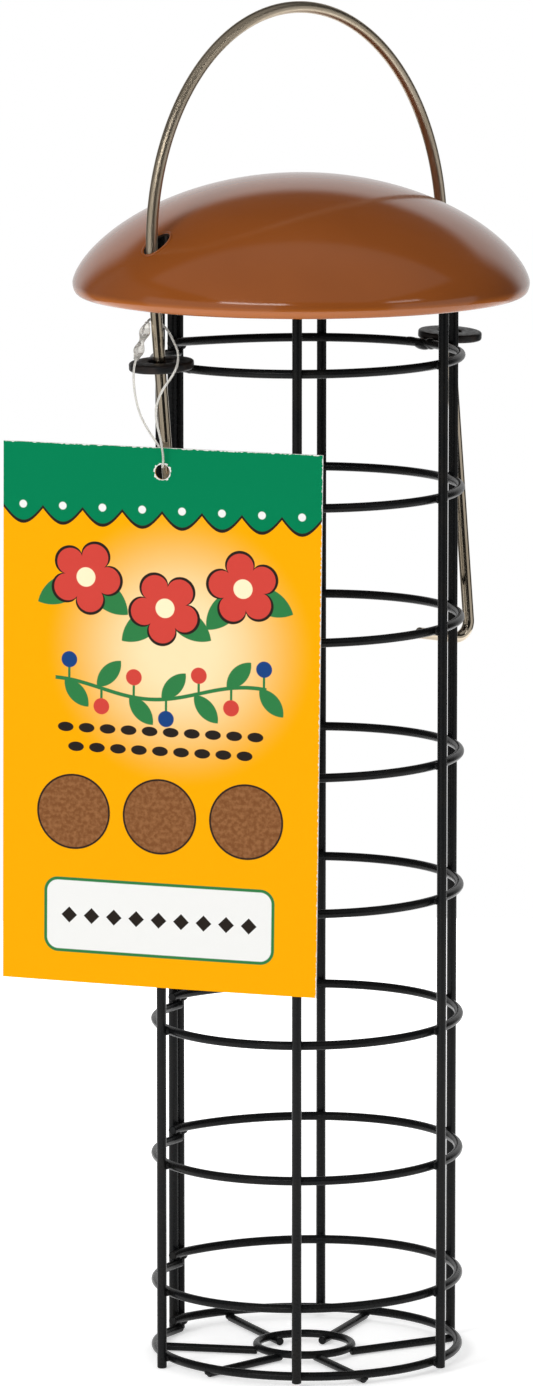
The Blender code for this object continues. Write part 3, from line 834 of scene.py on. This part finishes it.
def smooth_route(route, spacing):
    """Points at an even spacing along a smooth curve through the route's points."""
    fine = []
    for i in range(len(route) - 1):
        before, start = route[max(i - 1, 0)], route[i]
        end, after = route[i + 1], route[min(i + 2, len(route) - 1)]
        leave, arrive = (end - before) / 2, (after - start) / 2
        for t in (step / 12 for step in range(12)):
            fine.append(
                (2 * t**3 - 3 * t**2 + 1) * start
                + (t**3 - 2 * t**2 + t) * leave
                + (3 * t**2 - 2 * t**3) * end
                + (t**3 - t**2) * arrive
            )
    fine.append(route[-1])
    runs = [(b - a).length for a, b in zip(fine, fine[1:])]
    count = round(sum(runs) / spacing)
    points, passed, i = [fine[0]], 0, 0
    for number in range(1, count):
        goal = sum(runs) * number / count
        while passed + runs[i] < goal:
            passed += runs[i]
            i += 1
        points.append(fine[i].lerp(fine[i + 1], (goal - passed) / runs[i]))
    return points + [fine[-1]]


class FEEDER_OT_tag_loop(bpy.types.Operator):
    """Make the tag's nylon loop and the beaded lock that joins its ends"""

    bl_idname = "feeder.tag_loop"
    bl_label = "Tag Loop"

    def execute(self, context):
        settings = context.scene.feeder
        points = smooth_route(LOOP_ROUTE, LOOP_POINT_SPACING)
        curve = bpy.data.curves.new("nylon_loop", "CURVE")
        curve.dimensions = "3D"
        curve.bevel_depth = settings.loop_diameter / 2
        curve.bevel_resolution = 3
        curve.use_fill_caps = True
        spline = curve.splines.new("POLY")
        spline.points.add(len(points) - 1)
        for spline_point, place in zip(spline.points, points):
            spline_point.co = (*place, 1)
        spline.use_smooth = True
        curve.materials.append(clear_nylon(settings, "clear_nylon", 0.22, 0.55))
        loop = new_object("nylon_loop", curve)
        dress(loop, LOOP, "clear_nylon", "tag_loop")

        foot = LOOP_ROUTE[-1]
        along = LOOP_ROUTE[0] - foot
        profile, rings = [(0, 0)], 40
        for share in (ring / rings for ring in range(rings + 1)):
            swell = (settings.lock_bead - settings.lock_neck) / 2 * sin(tau * share) ** 2
            profile.append((settings.lock_neck / 2 + swell, along.length * share))
        mesh = turned("loop_beads", profile + [(0, along.length)], steps=32)
        set_down(mesh, foot, UP.rotation_difference(along).to_matrix())
        mesh.materials.append(clear_nylon(settings, "clear_nylon_lock", 0.2, 0.72))
        lock = new_object("loop_beads", mesh)
        dress(lock, LOOP, "clear_nylon", "loop_lock")

        return {"FINISHED"}


class FEEDER_OT_hang_tag(bpy.types.Operator):
    """Make the printed card that hangs on the loop"""

    bl_idname = "feeder.hang_tag"
    bl_label = "Hang Tag"

    def execute(self, context):
        settings = context.scene.feeder
        shape = bmesh.new()
        bmesh.ops.create_grid(shape, x_segments=40, y_segments=64, size=0.5, calc_uvs=True)
        layer = shape.loops.layers.uv.verify()
        for face in shape.faces:
            for corner in face.loops:
                corner[layer].uv = (corner.vert.co.x + 0.5, corner.vert.co.y + 0.5)
        for vertex in shape.verts:
            across, along = vertex.co.x, vertex.co.y
            back = TAG_CURL * (0.5 - across) ** 2 * (0.5 - along)
            vertex.co = (TAG_WIDTH * across, back, TAG_HEIGHT * (along - 0.5) + TAG_HOLE_INSET)
        mesh = new_mesh("printed_tag", shape)
        mesh.uv_layers[0].name = "UVMap"
        tag = new_object("printed_tag", mesh)
        mesh.materials.append(printed_card(settings))
        for name in ("card_back", "card_edge"):
            mesh.materials.append(paper(name, settings.card_colour))
        card = tag.modifiers.new("card", "SOLIDIFY")
        card.thickness = settings.card_thickness
        card.offset = 0
        card.material_offset = 1
        card.material_offset_rim = 2
        tool = punch(tag, TAG_HOLE_RADIUS, length=20 * MM, sides=48, turn=(pi / 2, 0, 0))
        plain_mesh(tag)
        bpy.data.objects.remove(tool)
        drop = TAG_HOLE_RADIUS - settings.loop_diameter / 2 - TAG_HOLE_SLACK
        turn = Euler((0, radians(TAG_ROLL), radians(TAG_TURN))).to_matrix()
        set_down(tag.data, LOOP_ROUTE[LOOP_BEARING_INDEX] - drop * UP, turn)
        smooth(tag.data, 35)
        dress(tag, TAG, "printed_card", "hang_tag")
        return {"FINISHED"}


def hoop_height(name, azimuth=None):
    """The height of a hoop's centreline: its middle's, or where it passes an azimuth."""
    slant = [tan(radians(angle)) for angle in HOOP_SLANTS[HOOPS.index(name)]]
    lap = HOOP_RADIUS * outward(LAP_AZIMUTH)
    height = middle(name).z - slant[0] * lap.x - slant[1] * lap.y
    if azimuth is not None:
        place = HOOP_RADIUS * outward(azimuth)
        height += slant[0] * place.x + slant[1] * place.y
    return height


class FEEDER_OT_hoops(bpy.types.Operator):
    """Make the nine lapped hoops"""

    bl_idname = "feeder.hoops"
    bl_label = "Hoops"

    def execute(self, context):
        settings = context.scene.feeder
        radius = HOOP_RADIUS - settings.hoop_wire / 2
        half_lap = LAP_LENGTH / 2 / radius
        sweep = tau + 2 * half_lap
        graph, sizes = geometry_tree(
            "lapped_hoops",
            Radius=radius,
            Wire_radius=settings.hoop_wire / 2,
            Lap_drop=LAP_DROP,
            Lap_ease=LAP_EASE,
            Start=radians(LAP_AZIMUTH) - half_lap,
            Sweep=sweep,
            Lap_share=1 - 4 * half_lap / sweep,
            Steps=200,
            Sides=settings.wire_sides,
        )
        line = graph.first("GeometryNodeCurvePrimitiveLine", {"End": (1, 0, 0)})
        fine = graph.first("GeometryNodeResampleCurve", {"Curve": line, "Count": sizes["Steps"]})
        turn = graph.first("GeometryNodeSplineParameter")
        angle = graph.math("MULTIPLY_ADD", turn, sizes["Sweep"], sizes["Start"])
        off_middle = graph.math("MULTIPLY_ADD", turn, 2.0, -1.0)
        away = graph.math("DIVIDE", graph.math("ABSOLUTE", off_middle), sizes["Lap share"])
        eased = graph.math("POWER", graph.math("MINIMUM", away, 1.0), sizes["Lap ease"])
        place = graph.join(
            graph.times(graph.math("SINE", angle), sizes["Radius"]),
            graph.times(graph.math("COSINE", angle), sizes["Radius"], -1.0),
            graph.times(graph.math("SIGN", off_middle), eased, sizes["Lap drop"], 0.5),
        )
        hoop = graph.first("GeometryNodeSetPosition", {"Geometry": fine, "Position": place})
        copies = on_points(graph, sizes, round_wire(graph, hoop, sizes))
        places = [CAGE_AXIS + hoop_height(name) * UP for name in HOOPS]
        turns = [(radians(back), -radians(right), 0) for right, back in HOOP_SLANTS]
        hoops = grow("cage_hoops", places, graph, copies, coat(), turn=turns)
        soften(hoops, 0.2 * MM)
        dress(hoops, CAGE, CAGE_SLOT, *HOOPS)
        return {"FINISHED"}


class FEEDER_OT_uprights(bpy.types.Operator):
    """Make the seven straight uprights"""

    bl_idname = "feeder.uprights"
    bl_label = "Uprights"

    def execute(self, context):
        settings = context.scene.feeder
        points = []
        for name in UPRIGHTS:
            points += [Vector((*middle(name).xy, corner[2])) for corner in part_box(name)]
        uprights = straight_wires("cage_uprights", points, settings.upright_wire, settings.wire_sides)
        dress(uprights, CAGE, CAGE_SLOT, *UPRIGHTS)
        return {"FINISHED"}


class FEEDER_OT_base(bpy.types.Operator):
    """Make the spokes and the centre ring of the base"""

    bl_idname = "feeder.base"
    bl_label = "Base"

    def execute(self, context):
        settings = context.scene.feeder
        wire, sides = settings.base_wire, settings.wire_sides
        ring = middle("base_center_ring")
        ring_radius = radius_of("base_center_ring") - wire / 2
        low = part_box("base_spoke_2")[0][2] + wire / 2
        points = []
        for outer_azimuth, inner_azimuth, share in SPOKES:
            inner = Vector((*ring.xy, low)) + share * ring_radius * outward(inner_azimuth)
            outer = CAGE_AXIS + low * UP + (HOOP_RADIUS - settings.hoop_wire / 2) * outward(outer_azimuth)
            points += [inner, outer]
        spokes = straight_wires("base_spokes", points, wire, sides)
        dress(spokes, CAGE, CAGE_SLOT, *(f"base_spoke_{number}" for number in range(1, 7)))

        lengths = {"Wire_radius": wire / 2, "Ring_radius": ring_radius}
        graph, sizes = geometry_tree("center_ring", **lengths, Steps=72, Sides=sides)
        hoop = round_wire(graph, circle(graph, sizes["Ring radius"], sizes["Steps"]), sizes)
        placed = on_points(graph, sizes, hoop)
        base_ring = grow("center_ring", [ring], graph, placed, coat(), turn=[(0, 0, 0)])
        dress(base_ring, CAGE, CAGE_SLOT, "base_center_ring")
        return {"FINISHED"}


class FEEDER_OT_ears(bpy.types.Operator):
    """Make the two ears that guide the bail"""

    bl_idname = "feeder.ears"
    bl_label = "Ears"

    def execute(self, context):
        settings = context.scene.feeder
        names = [name for name, *_ in EAR_SEATS]
        radius = radius_of(names[0])
        low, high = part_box(names[0])
        graph, sizes = geometry_tree(
            "washers",
            Middle_radius=(radius + EAR_HOLE_RADIUS) / 2,
            Width=radius - EAR_HOLE_RADIUS,
            Height=high[2] - low[2],
            Edge=settings.ear_edge,
            Steps=96,
        )
        flat = graph.first(
            "GeometryNodeCurvePrimitiveQuadrilateral", {"Width": sizes["Width"], "Height": sizes["Height"]}
        )
        inputs = {"Curve": flat, "Count": 4, "Radius": sizes["Edge"], "Limit Radius": True}
        rounded = graph.first("GeometryNodeFilletCurve", inputs, mode="POLY")
        run = circle(graph, sizes["Middle radius"], sizes["Steps"])
        rings = on_points(graph, sizes, swept(graph, run, rounded))
        places, turns = [], []
        for name, sink, azimuth, lean in EAR_SEATS:
            places.append(middle(name) - sink * UP)
            turns.append(Matrix.Rotation(radians(lean), 3, UP.cross(outward(azimuth))).to_euler())
        ears = grow("cage_ears", places, graph, rings, ear_coat(settings), turn=turns)
        dress(ears, CAGE, CAGE_SLOT, *names)
        return {"FINISHED"}


class FEEDER_OT_welds(bpy.types.Operator):
    """Make the welds where the wires cross"""

    bl_idname = "feeder.welds"
    bl_label = "Welds"

    def execute(self, context):
        settings = context.scene.feeder
        wire_radius = HOOP_RADIUS - settings.hoop_wire / 2
        rows = []
        for name in UPRIGHTS:
            off = middle(name) - CAGE_AXIS
            azimuth = degrees(atan2(off.x, -off.y))
            for hoop in HOOPS:
                rows.append((azimuth, HOOP_RADIUS + WELD_SEAT, hoop_height(hoop, azimuth), UPRIGHT_WELD))
        for azimuth, lift, swell in EAR_WELDS:
            rows.append((azimuth, wire_radius, hoop_height("hoop_1", azimuth) + lift, swell))
        foot = hoop_height("bottom_hoop") - settings.hoop_wire / 2
        rows += [(azimuth, wire_radius, foot, SPOKE_WELD) for azimuth, *_ in SPOKES]
        graph, sizes = geometry_tree("welds", Size=settings.weld_size, Spread=0.2, Seed=7)
        blob = graph.first("GeometryNodeMeshIcoSphere", {"Radius": sizes["Size"], "Subdivisions": 3})
        least = graph.math("SUBTRACT", 1.0, sizes["Spread"])
        most = graph.math("ADD", 1.0, sizes["Spread"])
        limits = {"Min": graph.join(least, least, least), "Max": graph.join(most, 1.0, most)}
        vary = graph.first(
            "FunctionNodeRandomValue", {**limits, "Seed": sizes["Seed"]}, data_type="FLOAT_VECTOR"
        )
        scale = graph.vector("MULTIPLY", attribute(graph, "swell"), vary)
        welds = grow(
            "cage_welds",
            [CAGE_AXIS + reach * outward(azimuth) + height * UP for azimuth, reach, height, _ in rows],
            graph,
            on_points(graph, sizes, blob, Scale=scale),
            coat(),
            turn=[(0, 0, radians(row[0])) for row in rows],
            swell=[row[3] for row in rows],
        )
        dress(welds, CAGE, CAGE_SLOT)
        return {"FINISHED"}


def lid_sizes():
    """The lid's outer radius, its rise over its widest plane and that plane's height."""
    low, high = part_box("lid")
    return radius_of("lid"), high[2] - low[2] - LID_LIP, low[2] + LID_LIP


def dome(radius, rise, distance):
    """The height of one of the dome's faces over its widest plane."""
    return rise * (1 - min(1, distance / radius) ** 2) ** (LID_BULGE / 2)


class FEEDER_OT_lid(bpy.types.Operator):
    """Make the domed lid with its turned edge and the rims of its holes"""

    bl_idname = "feeder.lid"
    bl_label = "Lid"

    def execute(self, context):
        settings = context.scene.feeder
        radius, rise, plane = lid_sizes()
        wall = settings.lid_wall
        inner = self.face(radius - wall, rise - wall, radius, LID_LIP_INSET - wall, LID_LIP - wall)
        edge = radius - LID_LIP_INSET - LID_LIP_FLAT
        profile = self.face(radius, rise, radius, LID_LIP_INSET, LID_LIP)
        profile += [(edge, -LID_LIP), (edge, wall - LID_LIP)] + inner[::-1]
        lid = new_object("enamel_lid", turned("enamel_lid", profile, settings.lid_steps))
        set_down(lid.data, plane * UP)
        lid.data.materials.append(copper_enamel(settings))
        tools = []
        rims = bmesh.new()
        for azimuth in (BAIL_AZIMUTH, BAIL_AZIMUTH - 180):
            centre = (BAIL_HALF_WIDTH - LID_HOLE_INSET) * outward(azimuth)
            place = centre + plane * UP
            tools.append(punch(lid, LID_HOLE_RADIUS, length=3 * rise, sides=64, place=place))
            self.add_rim(rims, centre, settings.lid_rim)
        plain_mesh(lid)
        for tool in tools:
            bpy.data.objects.remove(tool)
        # Painted shade: the faces of the lid's inside take a near-black material
        lid.data.materials.append(lid_inside_painted_shade(settings))
        for polygon in lid.data.polygons:
            place = polygon.center
            depth = dome(radius, rise, place.xy.length) + plane - place.z
            if place.z > plane and depth > LID_SHADED_INSIDE_SHARE * wall:
                polygon.material_index = 1
        smooth(lid.data, 45)
        dress(lid, LID, "copper_enamel", "lid")

        bmesh.ops.recalc_face_normals(rims, faces=rims.faces)
        mesh = new_mesh("lid_hole_rims", rims)
        mesh.shade_smooth()
        mesh.materials.append(lid.data.materials[0])
        dress(new_object("lid_hole_rims", mesh), LID, "copper_enamel")
        return {"FINISHED"}

    def face(self, dome_radius, dome_rise, radius, inward, drop, rings=48, bend=12):
        """One face of the sheet, from the dome's top down to the foot of the turned edge."""
        points = []
        for ring in range(rings + 1):
            distance = dome_radius * sin(pi / 2 * ring / rings)
            points.append((distance, dome(dome_radius, dome_rise, distance)))
        for step in range(1, bend + 1):
            angle = pi / 2 * step / bend
            points.append((radius - LID_LIP_INSET + inward * cos(angle), -drop * sin(angle)))
        return points

    def add_rim(self, shape, centre, size, steps=72, sides=10):
        """Adds a round bead on the dome along a hole's edge."""
        radius, rise, plane = lid_sizes()
        loop = []
        for angle in (tau * step / steps for step in range(steps)):
            reach = LID_HOLE_RADIUS + LID_RIM_SHIFT * size
            place = centre + reach * Vector((cos(angle), sin(angle), 0))
            loop.append(place + (plane + dome(radius, rise, place.length)) * UP)
        rows = []
        for step, place in enumerate(loop):
            along = (loop[(step + 1) % steps] - loop[step - 1]).normalized()
            out = (place - centre - (place - centre).dot(UP) * UP).normalized()
            lift = out.cross(along).normalized()
            out = along.cross(lift).normalized()
            turns = [tau * side / sides for side in range(sides)]
            rows.append([shape.verts.new(place + size * (cos(t) * out + sin(t) * lift)) for t in turns])
        for here, there in zip(rows, rows[1:] + rows[:1]):
            for side in range(sides):
                after = (side + 1) % sides
                shape.faces.new((here[side], there[side], there[after], here[after]))


class FEEDER_OT_bail(bpy.types.Operator):
    """Make the bail: an arch, two straight legs and two hooks"""

    bl_idname = "feeder.bail"
    bl_label = "Bail"

    def execute(self, context):
        settings = context.scene.feeder
        pivot = (middle("ear_right").z + middle("ear_left").z) / 2
        right = self.hook(hoop_height("hoop_3") - HOOK_DROP - pivot + HOOK_BEND)[::-1]
        steps = 120
        crown = [
            (BAIL_HALF_WIDTH * cos(angle), BAIL_RISE - BAIL_ARCH_RISE + BAIL_ARCH_RISE * sin(angle))
            for angle in (pi * step / steps for step in range(steps + 1))
        ]
        left = [(-across, height) for across, height in right[::-1]]
        points = [Vector((across, 0, height)) for across, height in right + crown + left]
        edges = [(i, i + 1) for i in range(len(points) - 1)]
        graph, sizes = geometry_tree("bail_wire", Wire_radius=settings.bail_wire / 2, Sides=BAIL_SIDES)
        run = graph.first("GeometryNodeMeshToCurve", {0: sizes["Geometry"]})
        path = self.measured(graph, run, "Length")
        section = self.measured(graph, circle(graph, sizes["Wire radius"], sizes["Sides"]), "Factor")
        inputs = {
            "Geometry": swept(graph, path[0], section[0]),
            "Name": "UVMap",
            "Value": graph.join(path[1], section[1]),
        }
        wire = graph.first("GeometryNodeStoreNamedAttribute", inputs, data_type="FLOAT2", domain="CORNER")
        bail = grow("bail_wire", points, graph, wire, antique_nickel(settings), edges)
        lean = Euler((0, -radians(BAIL_LEAN), radians(BAIL_AZIMUTH - 90))).to_matrix()
        set_down(bail.data, CAGE_AXIS - BAIL_SLIP * outward(BAIL_AZIMUTH) + pivot * UP, lean)
        soften(bail, 0.35 * MM, 3)
        dress(bail, BAIL, "antique_nickel", "bail_handle")
        return {"FINISHED"}

    def measured(self, graph, curve, measure):
        """A curve, and how far along it each of its points lies."""
        node = graph.add("GeometryNodeCaptureAttribute", {"Geometry": curve})
        node.capture_items.new("FLOAT", measure)
        graph.feed(node.inputs[1], graph.add("GeometryNodeSplineParameter").outputs[measure])
        return node.outputs

    def hook(self, leg_end, steps=20):
        """The right hook in the bail's own plane, from the end of its leg to its tip."""
        points = []
        rise = radians(HOOK_RISE)
        for angle in ((pi / 2 + rise) * step / steps for step in range(steps + 1)):
            across = BAIL_HALF_WIDTH - HOOK_BEND + HOOK_BEND * cos(angle)
            points.append((across, leg_end - HOOK_BEND * sin(angle)))
        last_across, last_height = points[-1]
        tip = BAIL_HALF_WIDTH - HOOK_REACH
        return points + [(tip, last_height + (last_across - tip) * tan(rise))]


class FEEDER_OT_stage(bpy.types.Operator):
    """Set up the floor, the lamps and the white surroundings"""

    bl_idname = "feeder.stage"
    bl_label = "Stage"

    def execute(self, context):
        settings = context.scene.feeder
        shape = bmesh.new()
        bmesh.ops.create_circle(shape, cap_ends=True, segments=96, radius=FLOOR_RADIUS)
        mesh = new_mesh("floor", shape)
        mesh.materials.append(studio_floor(settings))
        floor = new_object("floor", mesh)
        floor.location = -FLOOR_DROP * UP

        for name, place, size, power in (
            ("key", (-1.3, -1.6, 1.3), 0.8, settings.key_power),
            ("fill", (-0.3, -1.4, 0.15), 0.9, settings.fill_power),
            ("top", (0.1, 0.2, 1.8), 0.8, settings.top_power),
        ):
            lamp = bpy.data.lights.new(name, "AREA")
            lamp.size = size
            lamp.energy = power
            holder = new_object(name, lamp)
            holder.location = place
            holder.rotation_euler = (LAMP_TARGET - Vector(place)).to_track_quat("-Z", "Y").to_euler()
            holder.visible_camera = False
            holder.visible_glossy = False

        context.scene.world = self.surroundings(settings)
        context.scene.view_settings.view_transform = "Standard"
        return {"FINISHED"}

    def surroundings(self, settings):
        """White to the camera, even soft light, and softboxes that only glossy surfaces show."""
        world = bpy.data.worlds.new("studio")
        world.use_nodes = True
        graph = Graph(world.node_tree)
        split = graph.split(graph.first("ShaderNodeTexCoord"))
        front = graph.times(split["Y"], -1.0)
        azimuth = graph.math("DEGREES", graph.math("ARCTAN2", split["X"], front))
        lift = graph.math("DEGREES", graph.math("ARCSINE", split["Z"]))

        # What glossy surfaces show: the wall behind, the panel overhead and the softboxes
        turned_back = graph.math("ABSOLUTE", azimuth)
        shown = [
            graph.times(
                graph.ramp(turned_back, *WALL_AZIMUTHS),
                graph.ramp(lift, *WALL_ELEVATIONS),
                settings.backdrop_level,
            )
        ]
        rise = graph.most(split["Z"], 0.001)
        across = graph.math("ABSOLUTE", graph.math("DIVIDE", split["X"], rise))
        along = graph.math("DIVIDE", front, rise)
        spans = ((across, *PANEL_SIDES), (along, *PANEL_FRONT), (along, *PANEL_BACK))
        over = graph.math("GREATER_THAN", split["Z"], 0.01)
        shown.append(graph.times(*(graph.ramp(*span) for span in spans), over, settings.ceiling_level))
        for low, high, bottom, top, soft, level in SOFTBOXES:
            sides = [graph.ramp(azimuth, low - soft, low), graph.ramp(azimuth, high + soft, high)]
            ends = [graph.ramp(lift, bottom - soft, bottom), graph.ramp(lift, top + soft, top)]
            shown.append(graph.times(*sides, *ends, level))
        mirrored = graph.most(*shown, 0.02)

        path = graph.add("ShaderNodeLightPath").outputs
        white = graph.most(path["Is Camera Ray"], path["Is Transmission Ray"])
        glossy = graph.times(path["Is Glossy Ray"], graph.math("SUBTRACT", 1.0, white))
        rest = graph.math("SUBTRACT", 1.0, graph.most(white, glossy))
        level = graph.math("MULTIPLY_ADD", glossy, mirrored, white)
        background = world.node_tree.nodes["Background"].inputs
        graph.feed(background["Strength"], graph.math("MULTIPLY_ADD", rest, settings.world_level, level))
        background["Color"].default_value = (1, 1, 1, 1)
        return world


class FEEDER_PT_panel(bpy.types.Panel):
    """The feeder's operators and settings in the sidebar"""

    bl_label = "Suet Ball Feeder"
    bl_space_type = "VIEW_3D"
    bl_region_type = "UI"
    bl_category = "Feeder"

    def draw(self, context):
        for operator in OPERATORS:
            self.layout.operator(operator.bl_idname)
        for name in FeederSettings.__annotations__:
            self.layout.prop(context.scene.feeder, name)


OPERATORS = (
    FEEDER_OT_camera,
    FEEDER_OT_tag_loop,
    FEEDER_OT_hang_tag,
    FEEDER_OT_hoops,
    FEEDER_OT_uprights,
    FEEDER_OT_base,
    FEEDER_OT_ears,
    FEEDER_OT_welds,
    FEEDER_OT_lid,
    FEEDER_OT_bail,
    FEEDER_OT_stage,
)
CLASSES = (FeederSettings, *OPERATORS, FEEDER_PT_panel)


def register():
    for cls in CLASSES:
        bpy.utils.register_class(cls)
    bpy.types.Scene.feeder = PointerProperty(type=FeederSettings)


def unregister():
    del bpy.types.Scene.feeder
    for cls in reversed(CLASSES):
        bpy.utils.unregister_class(cls)


def main():
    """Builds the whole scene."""
    register()
    bpy.ops.feeder.camera()
    bpy.ops.feeder.tag_loop()
    bpy.ops.feeder.hang_tag()
    bpy.ops.feeder.hoops()
    bpy.ops.feeder.uprights()
    bpy.ops.feeder.base()
    bpy.ops.feeder.ears()
    bpy.ops.feeder.welds()
    bpy.ops.feeder.lid()
    bpy.ops.feeder.bail()
    bpy.ops.feeder.stage()


if __name__ == "__main__":
    main()
